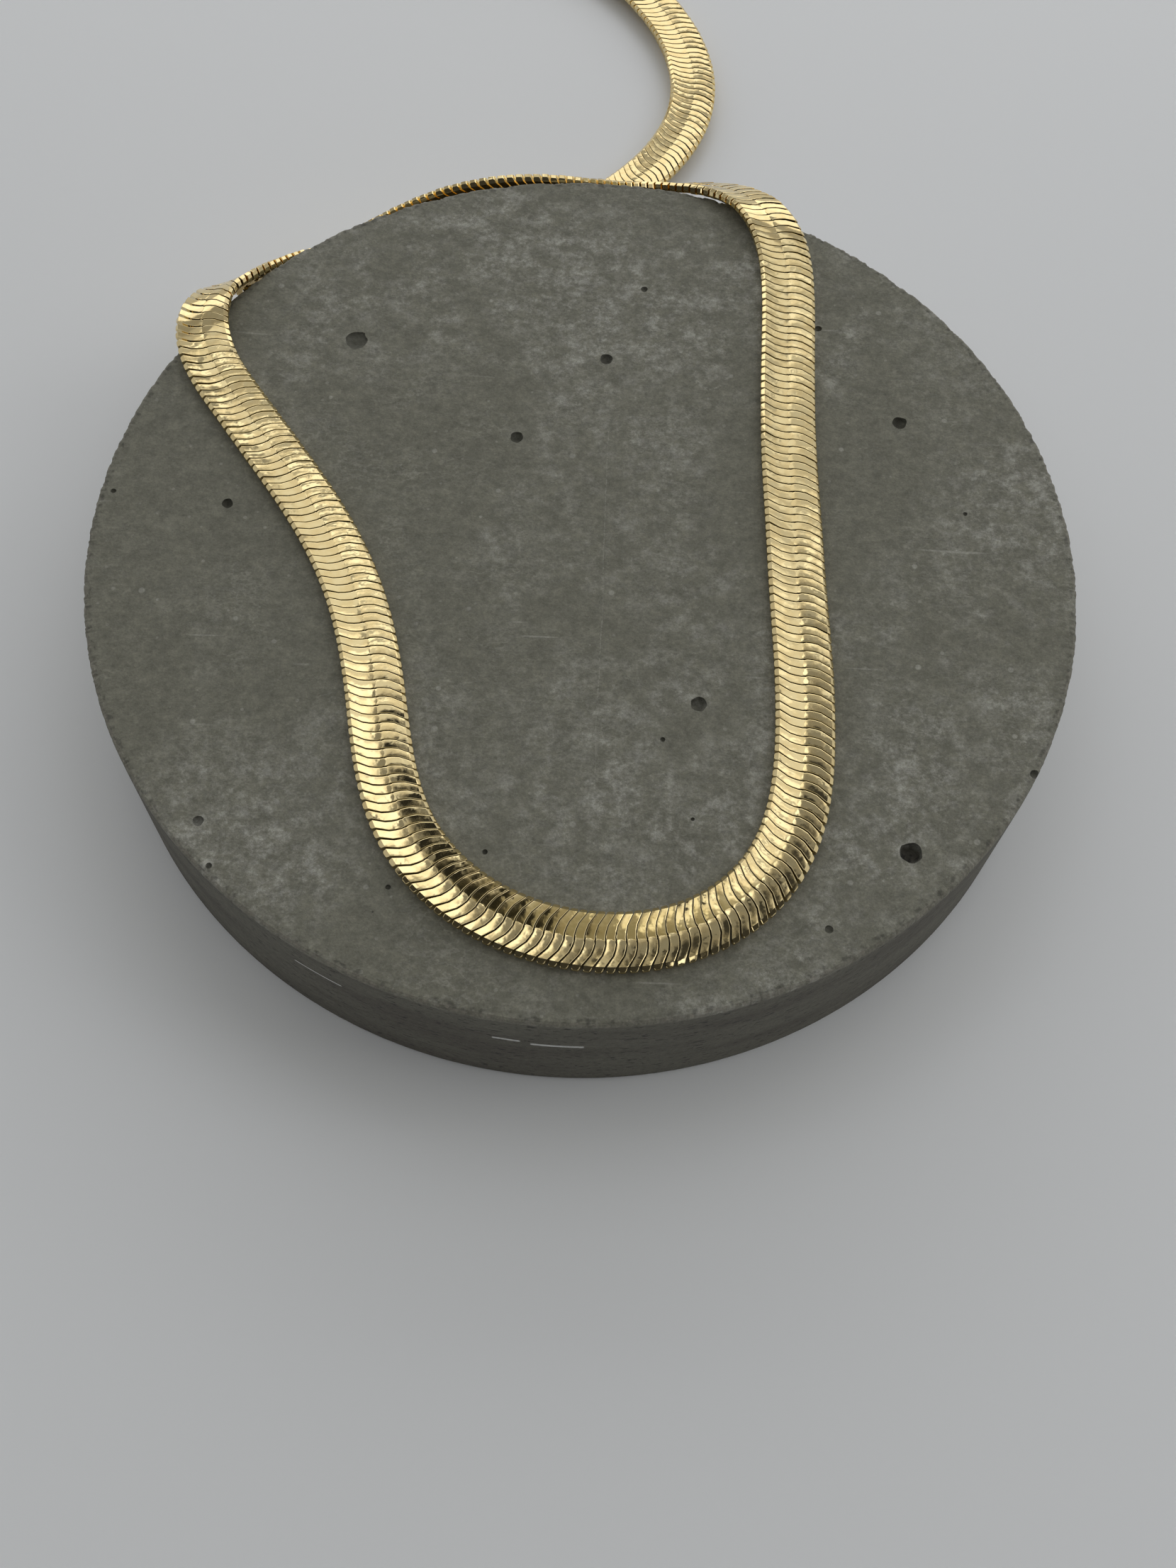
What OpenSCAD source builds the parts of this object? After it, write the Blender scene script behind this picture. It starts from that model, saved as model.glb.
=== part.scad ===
// A flat herringbone chain laid in a U over a round concrete display disc.
// Millimetres, +Z up, +Y away from the viewer, origin at the centre of the disc's underside.

/* [Display disc] */
// Diameter of the concrete disc
disc_d = 102; // [96:1:110]
// Height of the concrete disc
disc_h = 17.6; // [16:0.2:20]
// Width of the worn bevel round the top rim
rim_worn = 0.4; // [0.2:0.1:1]

/* [Chain] */
// Width of the flat chain
chain_w = 5.9; // [5:0.1:6.6]
// Thickness of the flat chain at its two crowns
chain_t = 1.1; // [0.9:0.1:1.3]
// Depth of the shallow groove along the middle of each face
groove = 0.08; // [0:0.01:0.15]
// Width of the slope along each outer edge
edge_slope = 0.3; // [0.1:0.05:0.5]
// Air left between the chain and what it lies on
lay_gap = 0.1; // [0.05:0.01:0.15]

/* [End caps] */
// Length of the chain that each cap grips
cap_grip = 3; // [2:0.5:4]
// Length of each cap beyond the end of the chain
cap_len = 3.2; // [2.5:0.1:4]
// Width of each cap's narrow nose
cap_nose_w = 2.4; // [1.8:0.1:3]
// Wall of each cap around the chain
cap_wall = 0.4; // [0.3:0.05:0.6]
// Air between a cap and the chain in it
cap_fit = 0.1; // [0.05:0.01:0.15]

/* [Clasp and ring] */
// Wire diameter of the upright eye that the clasp hooks into
eye_wire = 0.8; // [0.6:0.1:1]
// Radius of the hole in the upright eye
eye_hole_r = 1.5; // [1.4:0.1:1.8]
// Radius of the hole in the clasp's hook
hook_hole_r = 1.7; // [1.5:0.1:2]
// Width of metal round the hook's hole
hook_metal_w = 1.1; // [0.8:0.1:1.3]
// Thickness of the clasp's body
clasp_t = 1.3; // [1:0.1:1.6]
// Width of the clasp's body where it is widest
clasp_w = 4.4; // [3.5:0.1:5.5]
// Radius of the holes in the two flat eyes
flat_eye_hole_r = 0.9; // [0.8:0.05:1.1]
// Width of metal round each flat eye's hole
flat_eye_metal_w = 0.7; // [0.6:0.05:0.8]
// Thickness of each flat eye
flat_eye_t = 0.8; // [0.6:0.1:1]
// Wire diameter of the jump ring
ring_wire = 0.7; // [0.5:0.05:0.8]
// Radius of the jump ring, to the middle of its wire
ring_mid_r = 2; // [1.9:0.05:2.3]

/* [Hidden] */
$fn = 96;

// The chain's route, end to end: the upper strand behind the disc, the left
// rim, the U on top, the right rim, the turn behind the disc and the lower strand.
// x and y are drawn on a disc of radius 51 and scale with the real disc. rise is a
// share of the disc's height, layers counts thicknesses laid up, and roll turns the
// face to the right.
//   x,     y,     rise, layers, roll
ROUTE = [
    [-18,   114.5, 0,    0.85, 0],
    [-10,   113,   0,    0.85, 0],
    [-1,    109,   0,    1.6,  0],
    [5,     102.5, 0,    1.55, 0],
    [9.5,   95.5,  0,    1.5,  0],
    [12,    88,    0,    1.5,  0],
    [12,    80,    0,    1.5,  0],
    [9,     72.5,  0,    1.5,  0],
    [4,     66,    0,    1.6,  4],
    [-2.5,  60.5,  0.16, 0,    16],
    [-8.5,  56,    0.2,  0,    40],
    [-14.5, 52.2,  0.29, 0,    68],
    [-21,   48.2,  0.39, 0,    84],
    [-27.5, 44.5,  0.56, 0,    90],
    [-33,   40.5,  0.73, 0,    90],
    [-37,   37,    0.83, 0,    80],
    [-40,   34.5,  0.94, 0,    56],
    [-42.6, 31.6,  1,    0.5,  26],
    [-43.2, 26.6,  1,    0.9,  8],
    [-41.5, 21.5,  1,    0.5,  0],
    [-38.2, 17,    1,    0.5,  0],
    [-33.8, 11,    1,    0.5,  0],
    [-29,   4.5,   1,    0.5,  0],
    [-25,   -2,    1,    0.5,  0],
    [-22,   -9,    1,    0.5,  0],
    [-20,   -17,   1,    0.5,  0],
    [-18.6, -25.5, 1,    0.5,  0],
    [-16,   -33.2, 1,    0.5,  0],
    [-10.5, -39.2, 1,    0.5,  0],
    [-3,    -42.7, 1,    0.5,  0],
    [5.5,   -43.5, 1,    0.5,  0],
    [13.5,  -41.2, 1,    0.5,  0],
    [19.5,  -35.5, 1,    0.5,  0],
    [22,    -28,   1,    0.5,  0],
    [22.5,  -20,   1,    0.5,  0],
    [22.4,  -12,   1,    0.5,  0],
    [21.9,  -4,    1,    0.5,  0],
    [21.7,  4,     1,    0.5,  0],
    [21.3,  12,    1,    0.5,  0],
    [21.3,  20,    1,    0.5,  0],
    [21.5,  28,    1,    0.5,  0],
    [21.7,  35.5,  1,    0.5,  0],
    [21.2,  42,    1,    0.7,  0],
    [18.8,  47.6,  1,    0.85, 15],
    [14.6,  51.2,  0.98, 0,    33],
    [8.5,   53.2,  0.87, 0,    45],
    [1.5,   53,    0.78, 0,    66],
    [-6,    52,    0.84, 0,    84],
    [-13.5, 50.6,  0.86, 0,    90],
    [-21.4, 49.6,  0.7,  0,    90],
    [-27.7, 47.5,  0.54, 0,    90],
    [-33.6, 45.2,  0.41, 0,    90],
    [-39,   42.4,  0.27, 0,    90],
    [-44,   39.2,  0.19, 0,    90],
    [-46,   35.4,  0.18, 0,    90],
    [-43.4, 31.6,  0.18, 0,    90],
    [-39.6, 33,    0.18, 0,    90],
    [-35,   39,    0.18, 0,    87],
    [-29,   44.8,  0.18, 0,    64],
    [-23,   49.8,  0.11, 0,    26],
    [-16.5, 53.8,  0,    0.55, 0],
    [-9.5,  57.4,  0,    0.5,  0],
    [-2.5,  62,    0,    0.5,  0],
    [4,     67.4,  0,    0.5,  0],
    [9,     73.7,  0,    0.5,  0],
    [12,    81.2,  0,    0.5,  0],
    [12,    89.2,  0,    0.5,  0],
    [9.5,   96.7,  0,    0.5,  0],
    [5.5,   104,   0,    0.5,  0],
    [1.5,   111,   0,    0.5,  0],
    [-2,    117.5, 0,    0.5,  0],
    [-8,    124,   0,    0.85, 0],
    [-16,   128,   0,    0.85, 0]
];
// Rings of the band for each step of the route
RINGS_PER_STEP = 4;
// The step of the route at which the two halves of the chain meet
MEET_STEP = 30;

disc_r = disc_d / 2;
laid_t = chain_t + 2 * lay_gap;
last_step = len(ROUTE) - 1;

cap_w = chain_w + 2 * (cap_fit + cap_wall);
cap_t = chain_t + 2 * (cap_fit + cap_wall);
end_z = ROUTE[0][3] * laid_t;
eye_outer_r = eye_hole_r + eye_wire;
eye_z = eye_outer_r + lay_gap / 2;
// How far the hook's metal reaches into the upright eye, past the eye's middle
hook_reach = hook_hole_r + hook_metal_w - eye_hole_r - eye_wire / 2;
// The hook lies on the curve of the eye's hole
clasp_z = eye_z - sqrt(pow(eye_hole_r, 2) - pow(hook_reach, 2)) + lay_gap + clasp_t / 2;
ring_z = ring_mid_r + ring_wire / 2 + lay_gap / 2;
flat_eye_outer_r = flat_eye_hole_r + flat_eye_metal_w;
// Distance between the two places where the jump ring passes the flat eyes
ring_span = 2 * sqrt(pow(ring_mid_r, 2) - pow(ring_z - clasp_z, 2));

// The route's points at their real places, with the roll kept as the fourth value
function placed(row, drawn_r = 51) = [row[0] * disc_r / drawn_r, row[1] * disc_r / drawn_r,
                                      row[2] * disc_h + row[3] * laid_t, row[4]];
spine = [for (row = ROUTE) placed(row)];
// One more point past each end, so that the curve reaches both ends
control = concat([2 * spine[0] - spine[1]], spine, [2 * spine[last_step] - spine[last_step - 1]]);

// A smooth curve through the middle of each run of four points
function blend(i, u) = (pow(1 - u, 3) * control[i] + (3 * pow(u, 3) - 6 * pow(u, 2) + 4) * control[i + 1]
    + (3 * u + 3 * pow(u, 2) - 3 * pow(u, 3) + 1) * control[i + 2] + pow(u, 3) * control[i + 3]) / 6;
function slope(i, u) = (-pow(1 - u, 2) * control[i] + (3 * pow(u, 2) - 4 * u) * control[i + 1]
    + (1 + 2 * u - 3 * pow(u, 2)) * control[i + 2] + pow(u, 2) * control[i + 3]) / 2;
// A place on the route is counted in steps from its first point
function step_of(t) = min(floor(t), last_step - 1);
function at(t) = let (i = step_of(t)) blend(i, t - i);
function heading(t) = let (i = step_of(t), d = slope(i, t - i)) unit([d[0], d[1], d[2]]);
function unit(v) = v / norm(v);
function upward(h) = unit([0, 0, 1] - h * h[2]);
function face_normal(h, roll) = upward(h) * cos(roll) + cross(h, upward(h)) * sin(roll);
function plan_angle(v) = atan2(v[1], v[0]);

// The band's outline across its width, as sideways and outward distances
half_w = chain_w / 2;
half_t = chain_t / 2;
crown_w = half_w - edge_slope;
edge_t = half_t * 0.4;
outline = [[-half_w, -edge_t], [-crown_w, -half_t], [0, groove - half_t], [crown_w, -half_t],
           [half_w, -edge_t], [half_w, edge_t], [crown_w, half_t], [0, half_t - groove],
           [-crown_w, half_t], [-half_w, edge_t]];
sides = len(outline);

function ring_points(t) =
    let (p = at(t), h = heading(t), out = face_normal(h, p[3]), side = cross(h, out))
    [for (c = outline) [p[0], p[1], p[2]] + side * c[0] + out * c[1]];

// A stretch of the chain's band from one step of the route to another
module band(from, to) {
    rings = round((to - from) * RINGS_PER_STEP);
    points = [for (k = [0:rings]) each ring_points(from + (to - from) * k / rings)];
    walls = [for (k = [0:rings - 1], j = [0:sides - 1])
        let (a = k * sides + j, b = k * sides + (j + 1) % sides)
        each [[a, b + sides, b], [a, a + sides, b + sides]]];
    first = [for (j = [0:sides - 1]) j];
    last = [for (j = [sides - 1:-1:0]) rings * sides + j];
    polyhedron(points, concat(walls, [first, last]));
}

module display_disc() {
    color("dimgray")
        rotate_extrude()
            polygon([[0, 0], [disc_r, 0], [disc_r, disc_h - rim_worn],
                     [disc_r - rim_worn, disc_h], [0, disc_h]]);
}

module chain_left() {
    color("gold") band(0, MEET_STEP);
}

module chain_right() {
    color("gold") band(MEET_STEP, last_step);
}

// Moves a piece to an end of the chain, with its X axis pointing out of the chain
module at_chain_end(t, outward) {
    p = at(t);
    translate([p[0], p[1], 0])
        rotate([0, 0, plan_angle(outward * heading(t))])
            children();
}

// A tapered metal cap with a slot for the end of the chain
module cap_shell() {
    difference() {
        translate([0, 0, end_z - cap_t / 2])
            linear_extrude(cap_t)
                polygon([[-cap_grip, -cap_w / 2], [cap_wall + cap_fit, -cap_w / 2],
                         [cap_len, -cap_nose_w / 2], [cap_len, cap_nose_w / 2],
                         [cap_wall + cap_fit, cap_w / 2], [-cap_grip, cap_w / 2]]);
        translate([-cap_grip - 1, -half_w - cap_fit, end_z - half_t - cap_fit])
            cube([cap_grip + 1 + cap_fit, chain_w + 2 * cap_fit, chain_t + 2 * cap_fit]);
    }
}

module ring_of_wire(mid_r, wire) {
    rotate_extrude()
        translate([mid_r, 0])
            circle(d = wire, $fn = 32);
}

// Where the upright eye and the flat eye stand beyond their caps
upright_eye_x = cap_len + eye_hole_r;
flat_eye_x = cap_len + flat_eye_hole_r + flat_eye_metal_w / 2;

module end_cap_hook_side() {
    color("goldenrod")
        at_chain_end(0, -1) {
            cap_shell();
            translate([upright_eye_x, 0, eye_z])
                rotate([90, 0, 0])
                    ring_of_wire(eye_hole_r + eye_wire / 2, eye_wire);
        }
}

module end_cap_ring_side() {
    color("goldenrod")
        at_chain_end(last_step, 1) {
            cap_shell();
            translate([flat_eye_x, 0, clasp_z])
                flat_eye();
        }
}

module flat_eye() {
    difference() {
        cylinder(r = flat_eye_outer_r, h = flat_eye_t, center = true);
        cylinder(r = flat_eye_hole_r, h = flat_eye_t + 1, center = true);
    }
}

// Plan places of the eye wire inside the hook and of the flat eye on the other cap
function end_place(t, outward, x) = let (p = at(t), h = outward * unit([heading(t)[0], heading(t)[1]]))
    [p[0], p[1]] + h * x;
hook_centre = end_place(0, -1, upright_eye_x + eye_hole_r + eye_wire / 2);
cap_eye_centre = end_place(last_step, 1, flat_eye_x);
clasp_way = cap_eye_centre - hook_centre;
clasp_angle = plan_angle(clasp_way);
clasp_reach = norm(clasp_way) - ring_span;
hook_outer_r = hook_hole_r + hook_metal_w;

module clasp() {
    color("goldenrod")
        translate([hook_centre[0], hook_centre[1], clasp_z])
            rotate([0, 0, clasp_angle])
                difference() {
                    union() {
                        cylinder(r = hook_outer_r, h = clasp_t, center = true);
                        linear_extrude(clasp_t, center = true)
                            polygon([[0, -hook_outer_r], [hook_outer_r, -clasp_w / 2],
                                     [clasp_reach - flat_eye_outer_r, -flat_eye_outer_r / 2],
                                     [clasp_reach - flat_eye_outer_r, flat_eye_outer_r / 2],
                                     [hook_outer_r, clasp_w / 2], [0, hook_outer_r]]);
                        linear_extrude(flat_eye_t, center = true)
                            polygon([[hook_outer_r, -flat_eye_outer_r / 2], [clasp_reach, -flat_eye_outer_r / 2],
                                     [clasp_reach, flat_eye_outer_r / 2], [hook_outer_r, flat_eye_outer_r / 2]]);
                        translate([clasp_reach, 0, 0])
                            cylinder(r = flat_eye_outer_r, h = flat_eye_t, center = true);
                    }
                    cylinder(r = hook_hole_r, h = clasp_t + 1, center = true);
                    translate([clasp_reach, 0, 0])
                        cylinder(r = flat_eye_hole_r, h = clasp_t + 1, center = true);
                }
}

module jump_ring() {
    color("goldenrod")
        translate([cap_eye_centre[0], cap_eye_centre[1], ring_z])
            rotate([0, 0, clasp_angle])
                translate([-ring_span / 2, 0, 0])
                    rotate([90, 0, 0])
                        ring_of_wire(ring_mid_r, ring_wire);
}

display_disc();
chain_left();
chain_right();
end_cap_hook_side();
end_cap_ring_side();
jump_ring();
clasp();
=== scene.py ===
import math

import bmesh
import bpy
from mathutils import Matrix, Vector, noise


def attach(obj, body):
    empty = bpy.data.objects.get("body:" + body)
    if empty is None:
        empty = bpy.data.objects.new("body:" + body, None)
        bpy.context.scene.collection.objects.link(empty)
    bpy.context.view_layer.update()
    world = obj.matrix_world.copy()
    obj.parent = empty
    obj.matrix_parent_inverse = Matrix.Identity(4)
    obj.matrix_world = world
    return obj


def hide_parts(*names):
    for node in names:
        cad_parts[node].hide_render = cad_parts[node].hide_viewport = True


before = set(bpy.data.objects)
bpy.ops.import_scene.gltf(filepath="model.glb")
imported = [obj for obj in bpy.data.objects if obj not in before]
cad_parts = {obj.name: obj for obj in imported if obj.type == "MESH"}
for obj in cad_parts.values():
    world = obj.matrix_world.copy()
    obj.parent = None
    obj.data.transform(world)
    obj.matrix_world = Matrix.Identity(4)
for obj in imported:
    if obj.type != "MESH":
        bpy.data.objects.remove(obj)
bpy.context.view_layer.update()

mm = 0.001
body = "root"


def addNode(tree, kind, inputs=None, **settings):
    made = tree.nodes.new(kind)
    for name, value in settings.items():
        setattr(made, name, value)
    for key, value in (inputs or {}).items():
        socket = made.inputs[key]
        if isinstance(value, bpy.types.NodeSocket):
            tree.links.new(value, socket)
        else:
            socket.default_value = value
    return made


def calc(tree, how, *values):
    return addNode(tree, "ShaderNodeMath", dict(enumerate(values)), operation=how).outputs[0]


def times(tree, first, second):
    return calc(tree, "MULTIPLY", first, second)


def highest(tree, first, second):
    return calc(tree, "MAXIMUM", first, second)


def vector(tree, how, *values):
    made = addNode(tree, "ShaderNodeVectorMath", dict(enumerate(values)), operation=how)
    return made.outputs["Value"] if how in ("LENGTH", "DOT_PRODUCT", "DISTANCE") else made.outputs[0]


def scaled(tree, value, by):
    return addNode(tree, "ShaderNodeVectorMath", {0: value, "Scale": by}, operation="SCALE").outputs[0]


def ranged(tree, value, start, end, low=0.0, high=1.0, smooth=True):
    # runs from low to high while value goes from start to end
    return addNode(tree, "ShaderNodeMapRange", {"Value": value, "From Min": start, "From Max": end,
                                                "To Min": low, "To Max": high},
                   interpolation_type="SMOOTHSTEP" if smooth else "LINEAR").outputs[0]


def band(tree, value, middle, half, soft):
    # 1 where value is within half of middle, 0 from soft beyond that
    away = calc(tree, "ABSOLUTE", calc(tree, "SUBTRACT", value, middle))
    return ranged(tree, away, half + soft, half)


floatA, floatB, floatOut = 2, 3, 0              # sockets of the Mix node for plain values
colourA, colourB, colourOut = 6, 7, 2           # and for colours


def blended(tree, share, first, second):
    values = {"Factor": share, floatA: first, floatB: second}
    return addNode(tree, "ShaderNodeMix", values).outputs[floatOut]


def mixed(tree, share, first, second):
    colours = {"Factor": share, colourA: first, colourB: second}
    return addNode(tree, "ShaderNodeMix", colours, data_type="RGBA").outputs[colourOut]


def meshObject(name, points, faces):
    mesh = bpy.data.meshes.new(name)
    mesh.from_pydata(points, [], faces)
    mesh.update()
    made = bpy.data.objects.new(name, mesh)
    bpy.context.scene.collection.objects.link(made)
    return made


def plainMesh(made):
    bpy.context.view_layer.update()
    graph = bpy.context.evaluated_depsgraph_get()
    mesh = bpy.data.meshes.new_from_object(made.evaluated_get(graph), depsgraph=graph)
    made.modifiers.clear()
    made.data = mesh


def finishPiece(made, slot, *nodes):
    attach(made, body)
    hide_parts(*nodes)
    print("made", made.name, len(made.data.polygons), "faces")


# place in millimetres, angles in degrees, and the lens as pixels for each unit of the angle's tangent
cameraView = {"place": (0, -95.42, 161.78), "pan": 1.138, "tilt": 64.53, "roll": 3.519,
              "pixelsPerTan": 2337.5, "photoHeight": 2212, "sensor": 36, "nearest": 0.005, "farthest": 20}


def makeCamera():
    pan, tilt, roll = (math.radians(cameraView[k]) for k in ("pan", "tilt", "roll"))
    ahead = Vector((math.sin(pan) * math.cos(tilt), math.cos(pan) * math.cos(tilt), -math.sin(tilt)))
    level = Vector((math.cos(pan), -math.sin(pan), 0))
    above = level.cross(ahead)
    right = level * math.cos(roll) + above * math.sin(roll)
    up = above * math.cos(roll) - level * math.sin(roll)
    data = bpy.data.cameras.new("photoCamera")
    data.sensor_width = cameraView["sensor"]
    data.lens = cameraView["pixelsPerTan"] * data.sensor_width / cameraView["photoHeight"]
    data.clip_start = cameraView["nearest"]
    data.clip_end = cameraView["farthest"]
    made = bpy.data.objects.new("photoCamera", data)
    turn = Matrix((right, up, -ahead)).transposed().to_4x4()
    made.matrix_world = Matrix.Translation(Vector(cameraView["place"]) * mm) @ turn
    bpy.context.scene.collection.objects.link(made)
    bpy.context.scene.camera = made


makeCamera()
print("camera ready")


# places and sizes in metres, power in watts
softboxes = [{"place": (0.75, 0.0, 0.6), "size": (0.4, 0.4), "power": 0.6},
             {"place": (0, 0.62, 0.3), "size": (1.5, 0.3), "power": 1.2}]
# brightness from the near side to the far side, and overhead, where it turns warm
room = {"near": 0.5, "far": 0.56, "depthSpan": (-0.7, 0.6), "leftShare": 0.9, "rightShare": 1.1,
        "sideSpan": (-0.8, 0.8), "above": 0.27, "aboveFrom": 66, "aboveFull": 76,
        "cool": (0.98, 0.99, 1.01, 1), "warm": (1.0, 0.95, 0.72, 1)}
# light and dark cards that the gold reflects: azimuth from +Y to +X, height, half width, half height and
# soft edge, all in degrees, and brightness
roomPatches = [(0, 37, 70, 9, 3, 0.38), (0, 55, 70, 9, 2, 0.86), (-40, 40, 25, 12, 2, 0.3),
               (-33, 55, 5, 4, 2, 0.62), (-26, 49, 6, 2, 1.5, 0.5), (-16, 48.8, 3, 0.8, 0.7, 1.35),
               (-23, 56, 6, 3.5, 0.8, 1.4), (-25, 54.2, 6, 0.5, 0.8, 0.4), (-23, 57.4, 6, 0.2, 0.8, 0.5),
               (-24, 61.5, 6, 1.8, 1, 0.75), (-23, 67, 8, 3.5, 1.5, 0.22), (-23, 67, 4, 3.5, 0.8, 0.02),
               (-19, 73.5, 10, 3.5, 1, 0.02), (14, 70.5, 5, 1.5, 1.5, 1.1), (27, 66, 7, 3, 1.5, 1.4),
               (27, 65, 6, 0.2, 0.8, 0.6), (27, 67, 6, 0.2, 0.8, 0.7), (18, 53, 5, 1, 1, 0.6),
               (17, 57, 4, 0.6, 0.8, 1.2), (-8, 64, 5, 3, 1.5, 1.5), (0, 61.5, 4, 1.5, 1, 1.5),
               (6, 59.5, 5, 1.5, 1.5, 0.4), (8, 64.5, 8, 3.5, 1, 0.25), (10, 67, 4, 2, 0.7, 0.04),
               (9, 56, 2, 1, 1, 1.3), (3, 49.5, 2.5, 1, 1, 1.15), (12, 49, 2, 1, 1, 0.5),
               (7, 52.5, 3.5, 2, 1.5, 0.58),
               (175, 30, 76, 16, 4, 0.04), (150, 26, 4, 2, 1, 1.5)]


def makeLight(softbox):
    data = bpy.data.lights.new("softbox", "AREA")
    data.shape = "RECTANGLE"
    data.size, data.size_y = softbox["size"]
    data.energy = softbox["power"]
    made = bpy.data.objects.new("softbox", data)
    made.location = softbox["place"]
    made.rotation_euler = (-made.location).to_track_quat("-Z", "Y").to_euler()
    bpy.context.scene.collection.objects.link(made)


def makeRoom():
    world = bpy.data.worlds.new("room")
    bpy.context.scene.world = world
    world.use_nodes = True
    tree = world.node_tree
    tree.nodes.clear()
    direction = addNode(tree, "ShaderNodeTexCoord").outputs["Generated"]
    way = addNode(tree, "ShaderNodeSeparateXYZ", {0: direction}).outputs
    azimuth = calc(tree, "ARCTAN2", way["X"], way["Y"])
    height = calc(tree, "ARCSINE", way["Z"])
    glow = ranged(tree, way["Y"], *room["depthSpan"], room["near"], room["far"])
    sides = ranged(tree, way["X"], *room["sideSpan"], room["leftShare"], room["rightShare"])
    glow = times(tree, glow, sides)
    overhead = ranged(tree, height, math.radians(room["aboveFrom"]), math.radians(room["aboveFull"]))
    glow = blended(tree, overhead, glow, room["above"])
    for *angles, brightness in roomPatches:
        toSide, toHeight, halfWide, halfHigh, soft = (math.radians(angle) for angle in angles)
        away = calc(tree, "WRAP", calc(tree, "SUBTRACT", azimuth, toSide), math.pi, -math.pi)
        across = band(tree, away, 0, halfWide, soft)
        share = times(tree, across, band(tree, height, toHeight, halfHigh, soft))
        glow = blended(tree, share, glow, brightness)
    tint = mixed(tree, overhead, room["cool"], room["warm"])
    back = addNode(tree, "ShaderNodeBackground", {"Color": tint, "Strength": glow})
    addNode(tree, "ShaderNodeOutputWorld", {"Surface": back.outputs[0]})


for softbox in softboxes:
    makeLight(softbox)
makeRoom()
bpy.context.scene.view_settings.view_transform = "Standard"
print("light ready")


def newGroup(name, inputs, outputs):
    tree = bpy.data.node_groups.new(name, "ShaderNodeTree")
    for label, value in inputs.items():
        kind = "NodeSocketVector" if hasattr(value, "__len__") else "NodeSocketFloat"
        tree.interface.new_socket(label, in_out="INPUT", socket_type=kind).default_value = value
    for label in outputs:
        tree.interface.new_socket(label, in_out="OUTPUT", socket_type="NodeSocketFloat")
    return tree, tree.nodes.new("NodeGroupInput").outputs, tree.nodes.new("NodeGroupOutput").inputs


def makeHandFinish():
    # soft uneven relief in two sizes and a mask of it, on the place that it is given
    tree, given, put = newGroup("handFinish", {"Place": (0, 0, 0), "Variant": 0.0, "Coarse Scale": 400.0,
                                               "Fine Scale": 2500.0, "Fine Share": 0.3}, ("Relief", "Mask"))
    sizes = []
    for scale in ("Coarse Scale", "Fine Scale"):
        made = addNode(tree, "ShaderNodeTexNoise", {"Vector": given["Place"], "W": given["Variant"],
                                                    "Scale": given[scale], "Detail": 1.0},
                       noise_dimensions="4D")
        sizes.append(made.outputs["Fac"])
    both = blended(tree, given["Fine Share"], *sizes)
    tree.links.new(both, put["Relief"])
    tree.links.new(ranged(tree, both, 0.35, 0.65), put["Mask"])
    return tree


handFinish = makeHandFinish()


def newMaterial(name):
    made = bpy.data.materials.new(name)
    made.use_nodes = True
    return made, made.node_tree, made.node_tree.nodes["Principled BSDF"]


# scales are coarse, fine and the share of the fine one, rough is from pale to deep gold
gold = {"pale": (0.89, 0.73, 0.39, 1), "deep": (0.83, 0.65, 0.32, 1), "variants": 40.0,
        "link": {"scales": (900.0, 2000.0, 0.22), "rough": (0.04, 0.1), "relief": 0.00002},
        "clasp": {"scales": (300.0, 3000.0, 0.3), "rough": (0.12, 0.26), "relief": 0.00001}}


def newGold(name):
    made, tree, shader = newMaterial(name)
    shader.inputs["Metallic"].default_value = 1
    return made, tree, shader


def finishGold(tree, shader, look, place):
    # place holds what the hand finish is laid on
    coarse, fine, share = look["scales"]
    place.update({"Coarse Scale": coarse, "Fine Scale": fine, "Fine Share": share})
    hand = addNode(tree, "ShaderNodeGroup", place, node_tree=handFinish).outputs
    bump = addNode(tree, "ShaderNodeBump", {"Strength": 1.0, "Distance": look["relief"],
                                            "Height": hand["Relief"]})
    tree.links.new(mixed(tree, hand["Mask"], gold["pale"], gold["deep"]), shader.inputs["Base Color"])
    tree.links.new(ranged(tree, hand["Mask"], 0.0, 1.0, *look["rough"]), shader.inputs["Roughness"])
    tree.links.new(bump.outputs[0], shader.inputs["Normal"])


def makeLinkGold():
    # each link has its own part of the finish, by its tone
    made, tree, shader = newGold("linkGold")
    where = addNode(tree, "ShaderNodeAttribute", attribute_name="linkSpot").outputs["Vector"]
    tone = addNode(tree, "ShaderNodeAttribute", attribute_name="linkTone").outputs["Fac"]
    finishGold(tree, shader, gold["link"], {"Place": where, "Variant": times(tree, tone, gold["variants"])})
    return made


def makeClaspGold():
    made, tree, shader = newGold("claspGold")
    where = addNode(tree, "ShaderNodeTexCoord").outputs["Object"]
    finishGold(tree, shader, gold["clasp"], {"Place": where})
    return made


linkGold = makeLinkGold()
claspGold = makeClaspGold()


# in this table the near-black colour is painted shade for small hollows
stone = {"dark": (0.185, 0.182, 0.14, 1), "bloom": (0.43, 0.425, 0.375, 1), "sand": (0.25, 0.23, 0.19, 1),
         "wall": (0.105, 0.096, 0.075, 1), "voidShade": (0.03, 0.028, 0.024, 1), "paintedGlint": (0.75, 0.75, 0.72, 1),
         "rough": 0.78, "relief": 0.00008, "bump": 0.8, "pitShade": 0.55}
# radii and heights in metres where the sandy rim and the dark wall begin and are full
stoneEdges = {"rimFrom": 0.0509, "rimFull": 0.0512, "ragged": 0.0009, "edgeShadeHalf": 0.00012,
              "edgeShadeSoft": 0.0002, "wallFrom": 0.0172, "wallFull": 0.0167}
plain = (1, 1, 1)
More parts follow.
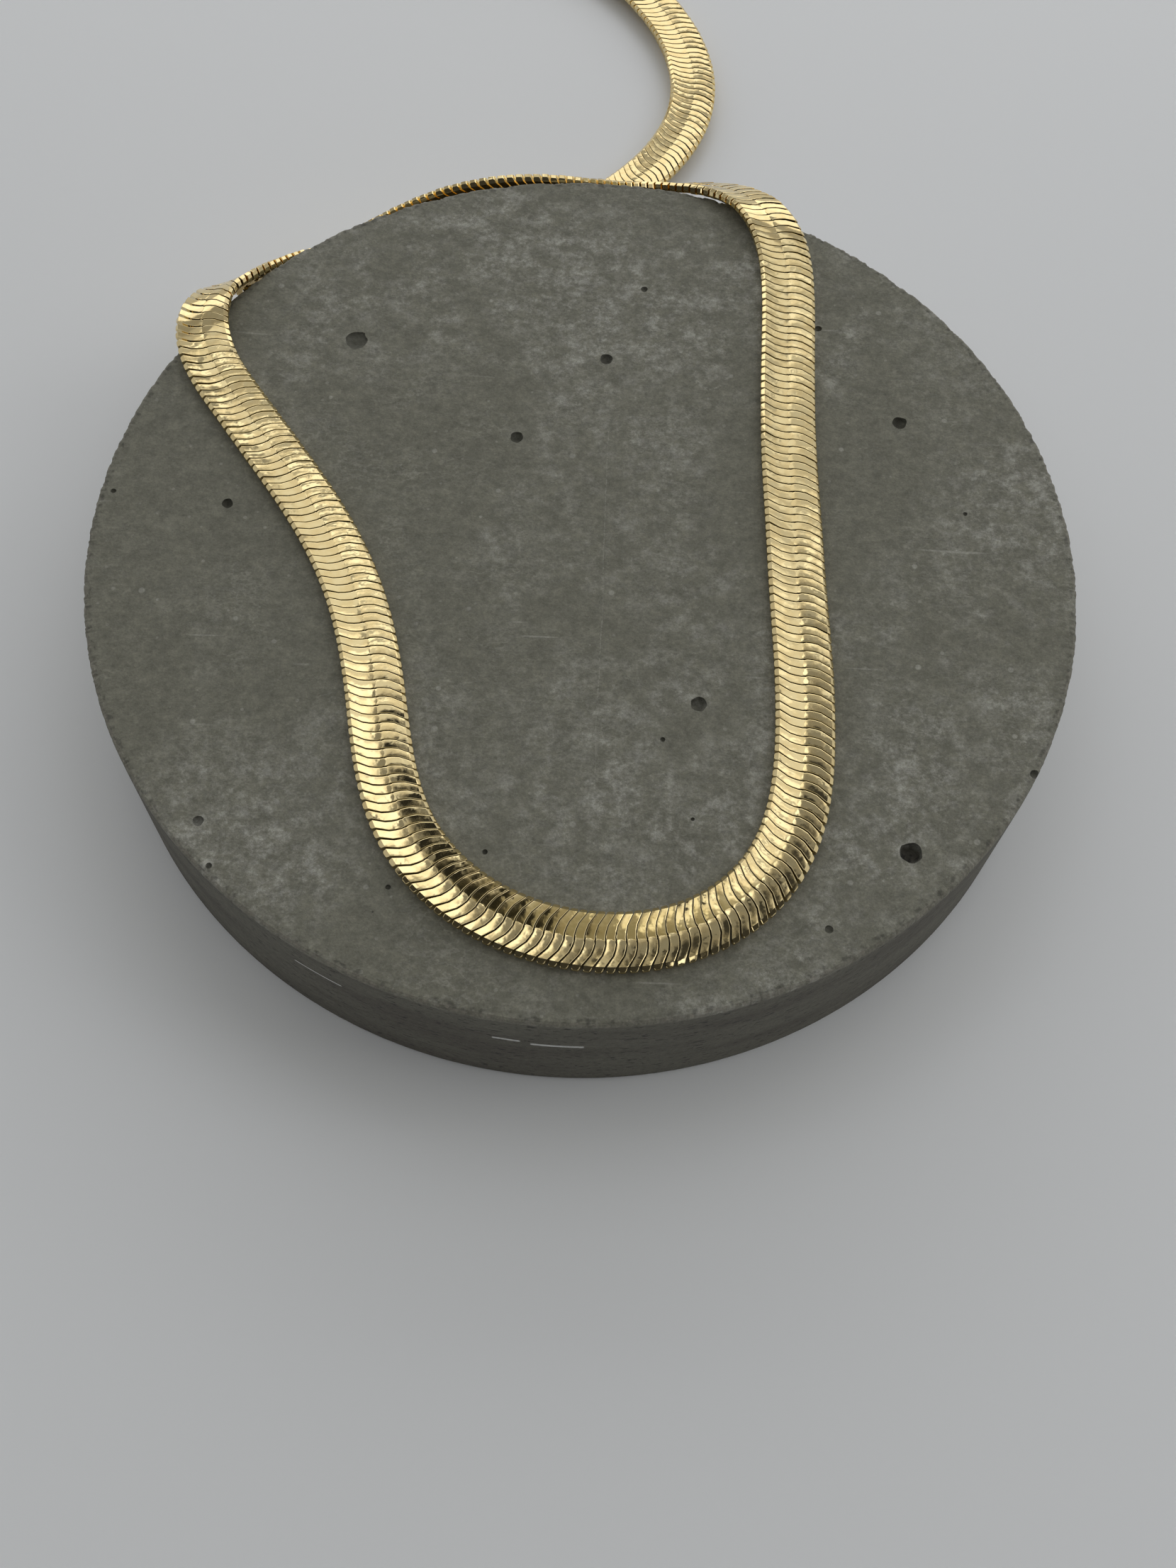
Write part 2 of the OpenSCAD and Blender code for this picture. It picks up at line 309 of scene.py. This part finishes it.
# scale for a metre, detail, stretch and roughness of each noise
stoneNoise = {"grain": (1900, 5, (0.85, 1, 1), 0.75), "fine": (5200, 3, plain, 0.7),
              "broad": (22, 2, plain, 0.6), "lumps": (400, 12, (0.9, 1, 1), 0.85),
              "veins": (24, 5, plain, 0.6), "zones": (42, 3, plain, 0.6),
              "scratches": (1300, 1, (0.05, 1, 1), 0.6), "scratchZones": (120, 1, plain, 0.6),
              "curls": (900, 3, (0.6, 1, 1), 0.6), "curlZones": (90, 3, plain, 0.6),
              "wander": (60, 2, plain, 0.6), "mottle": (520, 9, (0.85, 1, 1), 0.85),
              "rimEdge": (1100, 4, plain, 0.6), "rimSand": (2600, 2, plain, 0.6),
              "edgeVoidShade": (1300, 4, plain, 0.6), "wallBands": (250, 3, (0.2, 0.2, 1), 0.6),
              "wallPitShade": (900, 2, (1, 1, 3.5), 0.6)}
# the noise's values where each mark begins and is full, and its strength there, where that isn't 0 and 1
stoneSpans = {"lumps": (0.44, 0.66), "zones": (0.46, 0.64, 0.06, 1), "broad": (0.38, 0.58, 0.3, 1),
              "scratches": (0.7, 0.78), "scratchZones": (0.5, 0.6), "curlZones": (0.4, 0.65, 0.04, 0.26),
              "line": (0.35, 0.6, 0.05, 0.4), "rings": (0.4, 0.6, 0.0, 0.4),
              "mottle": (0.3, 0.7, 0.78, 1.22), "rimSand": (0.35, 0.65, 0.0, 0.6),
              "edgeVoidShade": (0.48, 0.62, 0, 0.5), "wallBands": (0.35, 0.65), "wallPitShade": (0.6, 0.66),
              "grainTone": (0.25, 0.75, 0.72, 1.28), "fineTone": (0.25, 0.75, 0.84, 1.16)}
# middle, half width and soft edge of the noise's values where thin marks show
stoneBands = {"veins": (0.5, 0.006, 0.05), "curls": (0.5, 0.0, 0.06)}
# how strongly each mark shows
stoneShares = {"veins": 0.85, "scratches": 0.5, "large": 0.5, "small": 0.3, "wallBands": 0.5,
               "wallPitShade": 0.8, "paintedGlints": 0.85, "fineRelief": 0.4}
# scale for a metre, largest radius in metres, and share of the cells that have a speck
stoneSpecks = {"large": (420, 0.00035, 0.45), "small": (900, 0.00022, 0.4), "dark": (330, 0.00016, 0.05)}
speckEdge = 0.03
# in metres
hairline = {"x": 0.002, "half": 0.00003, "soft": 0.00006, "y": -0.007, "halfLength": 0.022, "fade": 0.006,
            "wander": 0.0012}
ringLine = {"half": 0.0001, "soft": 0.0003}
strokeEdge = {"ends": 0.0002, "sides": 0.00008, "nearSide": (0.0, -0.01)}
# middle and radius of faint rings on the top, in millimetres
ringMarks = [((0.3, 44.0), 3.4), ((13.1, 23.2), 1.7)]
# x, height, half length and half thickness of painted highlights, pale glint strokes on the wall, in
# millimetres
paintedGlintStrokes = [(-5.3, 11.8, 1.2, 0.18), (-0.5, 11.3, 2.4, 0.22), (-23.3, 12.5, 2.2, 0.1)]


def makeConcrete(name, shade):
    made, tree, shader = newMaterial(name)
    place = addNode(tree, "ShaderNodeTexCoord").outputs["Object"]
    spot = addNode(tree, "ShaderNodeSeparateXYZ", {0: place}).outputs
    flat = vector(tree, "MULTIPLY", place, (1, 1, 0))
    reach = vector(tree, "LENGTH", flat)

    def noisy(pattern):
        scale, detail, stretch, rough = stoneNoise[pattern]
        along = vector(tree, "MULTIPLY", place, stretch)
        return addNode(tree, "ShaderNodeTexNoise", {"Vector": along, "Scale": scale, "Detail": detail,
                                                    "Roughness": rough}).outputs["Fac"]

    def specks(pattern):
        # round specks in a share of the cells
        scale, size, share = stoneSpecks[pattern]
        cells = addNode(tree, "ShaderNodeTexVoronoi", {"Vector": place, "Scale": scale})
        chance = addNode(tree, "ShaderNodeSeparateColor", {0: cells.outputs["Color"]}).outputs
        radius = times(tree, chance[1], size * scale)
        past = calc(tree, "SUBTRACT", cells.outputs["Distance"], radius)
        inside = ranged(tree, past, speckEdge, -speckEdge)
        return times(tree, inside, calc(tree, "LESS_THAN", chance[0], share))

    def spread(pattern):
        return ranged(tree, noisy(pattern), *stoneSpans[pattern])

    def thin(pattern):
        return band(tree, noisy(pattern), *stoneBands[pattern])

    grain = noisy("grain")
    fine = noisy("fine")
    # cloudy blooms with thin veins, scratches, curls, specks, one hairline and the ring marks
    zones = highest(tree, spread("zones"), times(tree, thin("veins"), stoneShares["veins"]))
    blooms = times(tree, times(tree, spread("lumps"), zones), spread("broad"))
    scratches = times(tree, spread("scratches"), spread("scratchZones"))
    curls = times(tree, thin("curls"), spread("curlZones"))
    pale = highest(tree, blooms, times(tree, scratches, stoneShares["scratches"]))
    pale = highest(tree, pale, curls)
    for size in ("large", "small"):
        pale = highest(tree, pale, times(tree, specks(size), stoneShares[size]))
    wander = times(tree, calc(tree, "SUBTRACT", noisy("wander"), 0.5), hairline["wander"])
    aside = calc(tree, "ADD", spot[0], wander)
    line = times(tree, band(tree, aside, hairline["x"], hairline["half"], hairline["soft"]),
                 band(tree, spot[1], hairline["y"], hairline["halfLength"], hairline["fade"]))
    pale = highest(tree, pale, times(tree, line, ranged(tree, fine, *stoneSpans["line"])))
    for (x, y), radius in ringMarks:
        away = vector(tree, "DISTANCE", flat, (x * mm, y * mm, 0))
        ring = band(tree, away, radius * mm, ringLine["half"], ringLine["soft"])
        pale = highest(tree, pale, times(tree, ring, ranged(tree, grain, *stoneSpans["rings"])))
    mottle = times(tree, spread("mottle"), calc(tree, "SUBTRACT", 1.0, specks("dark")))
    colour = scaled(tree, mixed(tree, pale, stone["dark"], stone["bloom"]), mottle)

    # the worn sandy band at the rim
    ragged = calc(tree, "ADD", reach, times(tree, noisy("rimEdge"), stoneEdges["ragged"]))
    rim = ranged(tree, ragged, stoneEdges["rimFrom"], stoneEdges["rimFull"])
    colour = mixed(tree, times(tree, rim, spread("rimSand")), colour, stone["sand"])
    # painted shade: near-black dashes along the chipped top edge, where small voids lie in shade
    edge = band(tree, ragged, stoneEdges["rimFrom"], stoneEdges["edgeShadeHalf"], stoneEdges["edgeShadeSoft"])
    colour = mixed(tree, times(tree, edge, spread("edgeVoidShade")), colour, stone["voidShade"])

    # the darker wall below it; its colour is partly the wall's own darker tone and partly painted shade,
    # since a vertical wall gets less light than the top
    wall = ranged(tree, spot[2], stoneEdges["wallFrom"], stoneEdges["wallFull"])
    bands = times(tree, spread("wallBands"), stoneShares["wallBands"])
    wallColour = mixed(tree, bands, stone["wall"], stone["dark"])
    # painted shade: near-black dashes on the wall for the small elongated pits
    pitShadeDashes = times(tree, spread("wallPitShade"), stoneShares["wallPitShade"])
    wallColour = mixed(tree, pitShadeDashes, wallColour, stone["voidShade"])
    rise = calc(tree, "ADD", spot[2], wander)
    # painted highlights: pale glints on the near side of the wall
    for x, z, half, thick in paintedGlintStrokes:
        paintedGlint = times(tree, band(tree, spot[0], x * mm, half * mm, strokeEdge["ends"]),
                       band(tree, rise, z * mm, thick * mm, strokeEdge["sides"]))
        paintedGlint = times(tree, paintedGlint, ranged(tree, spot[1], *strokeEdge["nearSide"]))
        paintedGlint = times(tree, paintedGlint, stoneShares["paintedGlints"])
        wallColour = mixed(tree, paintedGlint, wallColour, stone["paintedGlint"])
    colour = mixed(tree, wall, colour, wallColour)

    tone = times(tree, ranged(tree, grain, *stoneSpans["grainTone"], smooth=False),
                 ranged(tree, fine, *stoneSpans["fineTone"], smooth=False))
    # shade below 1 darkens the whole colour, which is painted shade for the copy used inside the air holes
    tone = times(tree, tone, shade)
    height = calc(tree, "ADD", grain, times(tree, fine, stoneShares["fineRelief"]))
    bump = addNode(tree, "ShaderNodeBump", {"Strength": stone["bump"], "Distance": stone["relief"],
                                            "Height": height})
    tree.links.new(scaled(tree, colour, tone), shader.inputs["Base Color"])
    tree.links.new(bump.outputs[0], shader.inputs["Normal"])
    shader.inputs["Roughness"].default_value = stone["rough"]
    return made


castConcrete = makeConcrete("castConcrete", 1.0)
# the inner faces of the air holes get this darker copy of the concrete, painted shade in the hollows
shadedPitConcrete = makeConcrete("shadedPitConcrete", stone["pitShade"])
print("materials ready")


# sizes in millimetres
disc = {"radius": 51.0, "height": 17.6, "worn": 0.35, "segments": 1500}
# scale for a millimetre and share of each size of chipping
chips = {"depth": 0.28, "even": 0.3, "broad": (0.3, 0.6), "small": (1.3, 0.7), "grit": (3.1, 0.6),
         "intoWall": 0.45, "intoTop": 0.2, "down": 0.6, "topZone": 1, "broadLayer": 3, "gritRise": 2}
holes = {"sides": 28, "rings": 14, "noiseScale": 1800, "uneven": 0.16}
# x, y, radius and depth of each air hole in the top, in millimetres
airHoles = [(-26, 26, 1.2, 0.5), (1.5, 25, 0.7, 0.6), (-7.7, 13.9, 0.7, 0.6), (-37.3, 3.8, 0.6, 0.6),
            (33.5, 18.1, 0.8, 0.7), (5.5, 35.1, 0.4, 0.4), (12, -17.5, 0.8, 0.6), (32.3, -32.5, 1.1, 1.1),
            (25, 30.6, 0.4, 0.4), (-35.4, -32.4, 0.5, 0.3), (-33.8, -36.9, 0.3, 0.4),
            (24.3, -40.6, 0.4, 0.3), (-16.9, -38.3, 0.25, 0.3), (-8.1, -34.3, 0.25, 0.3),
            (8.5, -21.6, 0.25, 0.3), (11.5, -30, 0.2, 0.3), (39.9, 6.6, 0.25, 0.3), (-49.3, 4.7, 0.3, 0.3),
            (44.9, -23.6, 0.5, 0.5)]


def chipDepth(x, y, height):
    scale, broadShare = chips["broad"]
    broad = noise.noise(Vector((x * scale, y * scale, chips["broadLayer"])))
    scale, smallShare = chips["small"]
    small = noise.noise(Vector((x * scale, y * scale, height)))
    scale, gritShare = chips["grit"]
    grit = noise.noise(Vector((x * scale, y * scale, height * chips["gritRise"])))
    uneven = chips["even"] + broadShare * broad + smallShare * small + gritShare * grit
    return max(0, uneven) * chips["depth"]


def makeDisc():
    r, h, worn = disc["radius"], disc["height"], disc["worn"]
    # radius, height and share of the chipping for each row, from the underside to the top
    rows = [(r - 0.5, 0, 0), (r, 0.4, 0.1), (r, 5, 0.03), (r, 10, 0.03), (r, 15, 0.05), (r, 16.4, 0.15),
            (r, 16.9, 0.4), (r, h - worn, 1), (r - worn * 0.35, h - worn * 0.35, 1), (r - worn, h, 0.8),
            (r - 0.7, h, 0.4), (r - 1.1, h, 0.15), (r - 2, h, 0)]
    count = disc["segments"]
    points = []
    for radius, height, share in rows:
        for k in range(count):
            a = 2 * math.pi * k / count
            chip = chipDepth(math.cos(a) * r, math.sin(a) * r, height) * share
            inward = radius - chip * (chips["intoWall"] if height < h else chips["intoTop"])
            down = height - (chip * chips["down"] if height > h - chips["topZone"] else 0)
            points.append((math.cos(a) * inward * mm, math.sin(a) * inward * mm, down * mm))
    faces = []
    for row in range(len(rows) - 1):
        for k in range(count):
            n = (k + 1) % count
            a = row * count
            faces.append((a + k, a + n, a + count + n, a + count + k))
    faces.append(tuple(reversed(range(count))))
    faces.append(tuple(range((len(rows) - 1) * count, len(rows) * count)))
    made = meshObject("concreteDisc", points, faces)
    made.data.materials.append(castConcrete)
    cutter = bmesh.new()
    for x, y, radius, depth in airHoles:
        middle = Vector((x, y, h)) * mm
        shape = Matrix.Translation(middle) @ Matrix.Diagonal((radius * mm, radius * mm, depth * mm, 1))
        ball = bmesh.ops.create_uvsphere(cutter, u_segments=holes["sides"], v_segments=holes["rings"],
                                         radius=1, matrix=shape)
        for corner in ball["verts"]:
            uneven = noise.noise(corner.co * holes["noiseScale"]) * holes["uneven"]
            corner.co += (corner.co - middle) * uneven
    mesh = bpy.data.meshes.new("holes")
    cutter.to_mesh(mesh)
    cutter.free()
    mesh.materials.append(shadedPitConcrete)
    balls = bpy.data.objects.new("holes", mesh)
    bpy.context.scene.collection.objects.link(balls)
    cut = made.modifiers.new("cut", "BOOLEAN")
    cut.object = balls
    cut.operation = "DIFFERENCE"
    cut.solver = "EXACT"
    cut.material_mode = "TRANSFER"
    plainMesh(made)
    bpy.data.objects.remove(balls)
    finishPiece(made, "concrete", "display_disc")


makeDisc()


# lengths in millimetres
chain = {"laid": 1.3, "stepsPerRow": 24, "meetRow": 30, "pitch": 0.96, "endMargin": 0.75,
         "otherShift": 0.08, "otherDrop": 0.03, "seed": 7, "lean": 0.014}
# x, y, rise in disc heights, layers laid up and roll in degrees, as in the part's source
route = [
    (-18, 114.5, 0, 0.85, 0), (-10, 113, 0, 0.85, 0), (-1, 109, 0, 1.6, 0), (5, 102.5, 0, 1.55, 0),
    (9.5, 95.5, 0, 1.5, 0), (12, 88, 0, 1.5, 0), (12, 80, 0, 1.5, 0), (9, 72.5, 0, 1.5, 0),
    (4, 66, 0, 1.6, 4), (-2.5, 60.5, 0.16, 0, 16), (-8.5, 56, 0.2, 0, 40), (-14.5, 52.2, 0.29, 0, 68),
    (-21, 48.2, 0.39, 0, 84), (-27.5, 44.5, 0.56, 0, 90), (-33, 40.5, 0.73, 0, 90), (-37, 37, 0.83, 0, 80),
    (-40, 34.5, 0.94, 0, 56), (-42.6, 31.6, 1, 0.5, 26), (-43.2, 26.6, 1, 0.9, 8), (-41.5, 21.5, 1, 0.5, 0),
    (-38.2, 17, 1, 0.5, 0), (-33.8, 11, 1, 0.5, 0), (-29, 4.5, 1, 0.5, 0), (-25, -2, 1, 0.5, 0),
    (-22, -9, 1, 0.5, 0), (-20, -17, 1, 0.5, 0), (-18.6, -25.5, 1, 0.5, 0), (-16, -33.2, 1, 0.5, 0),
    (-10.5, -39.2, 1, 0.5, 0), (-3, -42.7, 1, 0.5, 0), (5.5, -43.5, 1, 0.5, 0), (13.5, -41.2, 1, 0.5, 0),
    (19.5, -35.5, 1, 0.5, 0), (22, -28, 1, 0.5, 0), (22.5, -20, 1, 0.5, 0), (22.4, -12, 1, 0.5, 0),
    (21.9, -4, 1, 0.5, 0), (21.7, 4, 1, 0.5, 0), (21.3, 12, 1, 0.5, 0), (21.3, 20, 1, 0.5, 0),
    (21.5, 28, 1, 0.5, 0), (21.7, 35.5, 1, 0.5, 0), (21.2, 42, 1, 0.7, 0), (18.8, 47.6, 1, 0.85, 15),
    (14.6, 51.2, 0.98, 0, 33), (8.5, 53.2, 0.87, 0, 45), (1.5, 53, 0.78, 0, 66), (-6, 52, 0.84, 0, 84),
    (-13.5, 50.6, 0.86, 0, 90), (-21.4, 49.6, 0.7, 0, 90), (-27.7, 47.5, 0.54, 0, 90),
    (-33.6, 45.2, 0.41, 0, 90), (-39, 42.4, 0.27, 0, 90), (-44, 39.2, 0.19, 0, 90), (-46, 35.4, 0.18, 0, 90),
    (-43.4, 31.6, 0.18, 0, 90), (-39.6, 33, 0.18, 0, 90), (-35, 39, 0.18, 0, 87), (-29, 44.8, 0.18, 0, 64),
    (-23, 49.8, 0.11, 0, 26), (-16.5, 53.8, 0, 0.55, 0), (-9.5, 57.4, 0, 0.5, 0), (-2.5, 62, 0, 0.5, 0),
    (4, 67.4, 0, 0.5, 0), (9, 73.7, 0, 0.5, 0), (12, 81.2, 0, 0.5, 0), (12, 89.2, 0, 0.5, 0),
    (9.5, 96.7, 0, 0.5, 0), (5.5, 104, 0, 0.5, 0), (1.5, 111, 0, 0.5, 0), (-2, 117.5, 0, 0.5, 0),
    (-8, 124, 0, 0.85, 0), (-16, 128, 0, 0.85, 0),
]
# across, along, half length and half height of one half link, from its outer end to its nose past the seam
halfLink = [(2.95, 0.0, 0.27, 0.2), (2.87, 0.02, 0.36, 0.28), (2.57, 0.1, 0.42, 0.52),
            (1.5, 0.78, 0.43, 0.495), (0.9, 0.95, 0.43, 0.472), (0.35, 1.03, 0.43, 0.443),
            (0.0, 0.98, 0.4, 0.42), (-0.16, 0.88, 0.2, 0.404)]
halfLinkShape = {"edge": 0.055, "drop": 0.024, "crown": 0.006, "sharpAngle": 12}


def routePoints():
    # a smooth curve by the rows of the route, with the way that the chain's face looks at each point
    points = []
    for x, y, rise, layers, roll in route:
        height = rise * disc["height"] + layers * chain["laid"]
        points.append(Vector((x, y, height, roll)))
    points.insert(0, 2 * points[0] - points[1])
    points.append(2 * points[-1] - points[-2])
    dense = []
    steps = chain["stepsPerRow"]
    for i in range(len(route) - 1):
        a, b, c, d = points[i:i + 4]
        for k in range(steps + (i == len(route) - 2)):
            u = k / steps
            p = ((1 - u) ** 3 * a + (3 * u ** 3 - 6 * u ** 2 + 4) * b
                 + (3 * u + 3 * u ** 2 - 3 * u ** 3 + 1) * c + u ** 3 * d) / 6
            v = (-(1 - u) ** 2 * a + (3 * u ** 2 - 4 * u) * b
                 + (1 + 2 * u - 3 * u ** 2) * c + u ** 2 * d) / 2
            ahead = v.to_3d().normalized()
            up = (Vector((0, 0, 1)) - ahead * ahead.z).normalized()
            roll = math.radians(p.w)
            dense.append((p.to_3d() * mm, up * math.cos(roll) + ahead.cross(up) * math.sin(roll)))
    return dense


def makeRoutePath():
    dense = routePoints()
    mesh = bpy.data.meshes.new("routePath")
    mesh.from_pydata([p for p, out in dense], [(k, k + 1) for k in range(len(dense) - 1)], [])
    facing = mesh.attributes.new("faceOut", "FLOAT_VECTOR", "POINT")
    for k, (p, out) in enumerate(dense):
        facing.data[k].vector = out
    made = bpy.data.objects.new("routePath", mesh)
    bpy.context.scene.collection.objects.link(made)
    reach = [0]
    for k in range(1, len(dense)):
        reach.append(reach[-1] + (dense[k][0] - dense[k - 1][0]).length)
    return made, reach[chain["meetRow"] * chain["stepsPerRow"]], reach[-1]


def makeHalfLink():
    edge, drop, crown = (halfLinkShape[k] for k in ("edge", "drop", "crown"))
    points = []
    for across, along, half, high in halfLink:
        low = high - drop
        outline = [(-half, -high), (-half, low), (edge - half, high - crown), (0, high),
                   (half - edge, high - crown), (half, low), (half, -high)]
        points += [(across * mm, (along + u) * mm, t * mm) for u, t in outline]
    sides = len(outline)
    faces = []
    for row in range(len(halfLink) - 1):
        for k in range(sides):
            a, b = row * sides + k, row * sides + (k + 1) % sides
            faces.append((a, b, b + sides, a + sides))
    faces.append(tuple(reversed(range(sides))))
    faces.append(tuple(range(len(points) - sides, len(points))))
    made = meshObject("halfLink", points, faces)
    tidy = bmesh.new()
    tidy.from_mesh(made.data)
    bmesh.ops.recalc_face_normals(tidy, faces=tidy.faces)
    for face in tidy.faces:
        face.smooth = True
    for corner in tidy.edges:
        corner.smooth = corner.calc_face_angle(0) < math.radians(halfLinkShape["sharpAngle"])
    tidy.to_mesh(made.data)
    tidy.free()
    return made


def makeLinkTree():
    # lays pairs of half links along the path and bends each one with it
    tree = bpy.data.node_groups.new("herringboneLinks", "GeometryNodeTree")
    face = tree.interface
    face.new_socket("Geometry", in_out="INPUT", socket_type="NodeSocketGeometry")
    for label, kind in {"Half Link": "Object", "Other Half Shift": "Vector", "Link Pitch": "Float",
                        "First Place": "Float", "Last Place": "Float", "Lean": "Float", "Seed": "Int",
                        "Metal": "Material"}.items():
        face.new_socket(label, in_out="INPUT", socket_type="NodeSocket" + kind)
    face.new_socket("Geometry", in_out="OUTPUT", socket_type="NodeSocketGeometry")
    given = tree.nodes.new("NodeGroupInput").outputs
    put = tree.nodes.new("NodeGroupOutput").inputs

    span = calc(tree, "SUBTRACT", given["Last Place"], given["First Place"])
    count = calc(tree, "ROUND", calc(tree, "DIVIDE", span, given["Link Pitch"]))
    step = calc(tree, "DIVIDE", span, count)
    points = addNode(tree, "GeometryNodePoints", {"Count": count})
    index = addNode(tree, "GeometryNodeInputIndex").outputs[0]
    past = times(tree, calc(tree, "ADD", index, 0.5), step)
    place = calc(tree, "ADD", given["First Place"], past)

    def stored(geometry, name, value, kind="FLOAT"):
        inputs = {"Geometry": geometry, "Name": name, "Value": value}
        return addNode(tree, "GeometryNodeStoreNamedAttribute", inputs, data_type=kind,
                       domain="POINT").outputs[0]

    tone = addNode(tree, "FunctionNodeRandomValue", {"Seed": given["Seed"]}, data_type="FLOAT")
    leaning = addNode(tree, "FunctionNodeRandomValue", {0: (-1, -1, -1), 1: (1, 1, 1),
                                                        "Seed": given["Seed"]}, data_type="FLOAT_VECTOR")
    marked = stored(points.outputs[0], "linkPlace", place)
    marked = stored(marked, "linkTone", tone.outputs[1])
    marked = stored(marked, "linkLean", scaled(tree, leaning.outputs[0], given["Lean"]), "FLOAT_VECTOR")
    half = addNode(tree, "GeometryNodeObjectInfo", {"Object": given["Half Link"]}).outputs["Geometry"]
    halfTurn = (0, 0, math.pi)
    other = addNode(tree, "GeometryNodeTransform", {"Geometry": half, "Rotation": halfTurn,
                                                    "Translation": given["Other Half Shift"]}).outputs[0]
    link = tree.nodes.new("GeometryNodeJoinGeometry")
    tree.links.new(half, link.inputs[0])
    tree.links.new(other, link.inputs[0])
    laid = addNode(tree, "GeometryNodeInstanceOnPoints", {"Points": marked, "Instance": link.outputs[0]})
    real = addNode(tree, "GeometryNodeRealizeInstances", {0: laid.outputs[0]}).outputs[0]

    def named(name, kind="FLOAT"):
        return addNode(tree, "GeometryNodeInputNamedAttribute", {"Name": name}, data_type=kind).outputs[0]

    local = addNode(tree, "GeometryNodeInputPosition").outputs[0]
    real = stored(real, "linkSpot", local, "FLOAT_VECTOR")
    spot = addNode(tree, "ShaderNodeSeparateXYZ", {0: named("linkSpot", "FLOAT_VECTOR")}).outputs
    lean = addNode(tree, "ShaderNodeSeparateXYZ", {0: named("linkLean", "FLOAT_VECTOR")}).outputs
    tipped = calc(tree, "ADD", times(tree, spot[1], lean[0]), times(tree, spot[0], lean[1]))
    high = calc(tree, "ADD", spot[2], tipped)
    path = addNode(tree, "GeometryNodeMeshToCurve", {0: given["Geometry"]}).outputs[0]
    faceOut = named("faceOut", "FLOAT_VECTOR")

    def spotAt(length):
        took = addNode(tree, "GeometryNodeSampleCurve", {"Curves": path, "Value": faceOut, "Length": length},
                       mode="LENGTH", data_type="FLOAT_VECTOR")
        ahead = took.outputs["Tangent"]
        side = vector(tree, "NORMALIZE", vector(tree, "CROSS_PRODUCT", ahead, took.outputs["Value"]))
        out = vector(tree, "NORMALIZE", vector(tree, "CROSS_PRODUCT", side, ahead))
        across = vector(tree, "ADD", scaled(tree, side, spot[0]), scaled(tree, out, high))
        return vector(tree, "ADD", took.outputs["Position"], across)

    # a link keeps its own length where the path's outer side would stretch it
    tiny = 0.0000001
    middle = spotAt(named("linkPlace"))
    bent = vector(tree, "SUBTRACT", spotAt(calc(tree, "ADD", named("linkPlace"), spot[1])), middle)
    own = calc(tree, "DIVIDE", calc(tree, "ABSOLUTE", spot[1]),
               highest(tree, vector(tree, "LENGTH", bent), tiny))
    final = vector(tree, "ADD", middle, scaled(tree, bent, calc(tree, "MINIMUM", own, 1.0)))
    moved = addNode(tree, "GeometryNodeSetPosition", {"Geometry": real, "Position": final}).outputs[0]
    coated = addNode(tree, "GeometryNodeSetMaterial", {"Geometry": moved, "Material": given["Metal"]})
    tree.links.new(coated.outputs[0], put[0])
    return tree


def makeChainPiece(name, node, path, half, tree, first, last, seed):
    made = path.copy()
    made.data = path.data.copy()
    made.name = name
    bpy.context.scene.collection.objects.link(made)
    lay = made.modifiers.new("links", "NODES")
    lay.node_group = tree
    shift = (0, chain["otherShift"] * mm, -chain["otherDrop"] * mm)
    values = {"Half Link": half, "Other Half Shift": shift, "Link Pitch": chain["pitch"] * mm,
              "First Place": first, "Last Place": last, "Lean": chain["lean"], "Seed": seed,
              "Metal": linkGold}
    for socket in tree.interface.items_tree:
        if socket.in_out == "INPUT" and socket.name in values:
            lay[socket.identifier] = values[socket.name]
    plainMesh(made)
    for spare in ("linkPlace", "linkLean", "faceOut"):
        if spare in made.data.attributes:
            made.data.attributes.remove(made.data.attributes[spare])
    finishPiece(made, "chain_gold", node)


def makeChain():
    path, meet, whole = makeRoutePath()
    half = makeHalfLink()
    tree = makeLinkTree()
    first = chain["endMargin"] * mm
    last = whole - first
    seed = chain["seed"]
    makeChainPiece("chainLeftLinks", "chain_left", path, half, tree, first, meet, seed)
    makeChainPiece("chainRightLinks", "chain_right", path, half, tree, meet, last, seed + 1)
    bpy.data.objects.remove(path)
    bpy.data.objects.remove(half)


makeChain()


# angles in degrees, bevels in millimetres, 0 where the solid is round already
clasp = {"mergeWithin": 0.000001, "flatWithin": 0.6, "cornerFrom": 40, "bevelSteps": 2,
         "ringCapBevel": 0.1, "claspBevel": 0.15}


def softened(name, node, bevel):
    made = bpy.data.objects.new(name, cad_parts[node].data.copy())
    bpy.context.scene.collection.objects.link(made)
    tidy = bmesh.new()
    tidy.from_mesh(made.data)
    bmesh.ops.remove_doubles(tidy, verts=tidy.verts, dist=clasp["mergeWithin"])
    flat = math.radians(clasp["flatWithin"])
    bmesh.ops.dissolve_limit(tidy, angle_limit=flat, verts=tidy.verts, edges=tidy.edges)
    tidy.to_mesh(made.data)
    tidy.free()
    made.data.materials.clear()
    made.data.materials.append(claspGold)
    if bevel:
        rounded = made.modifiers.new("rounded", "BEVEL")
        rounded.width = bevel * mm
        rounded.segments = clasp["bevelSteps"]
        rounded.limit_method = "ANGLE"
        rounded.angle_limit = math.radians(clasp["cornerFrom"])
        plainMesh(made)
    finishPiece(made, "clasp_gold", node)


softened("hookSideCap", "end_cap_hook_side", 0)
softened("ringSideCap", "end_cap_ring_side", clasp["ringCapBevel"])
softened("jumpRing", "jump_ring", 0)
softened("plainClasp", "clasp", clasp["claspBevel"])


# in metres, just below the part
floor = {"reach": 3, "height": -0.00002, "colour": (0.89, 0.905, 0.915, 1), "rough": 0.35}


def makeFloor():
    reach, height = floor["reach"], floor["height"]
    corners = [(-reach, -reach, height), (reach, -reach, height),
               (reach, reach, height), (-reach, reach, height)]
    made = meshObject("paleFloor", corners, [(0, 1, 2, 3)])
    finish, _, shader = newMaterial("paleFloor")
    shader.inputs["Base Color"].default_value = floor["colour"]
    shader.inputs["Roughness"].default_value = floor["rough"]
    made.data.materials.append(finish)


makeFloor()
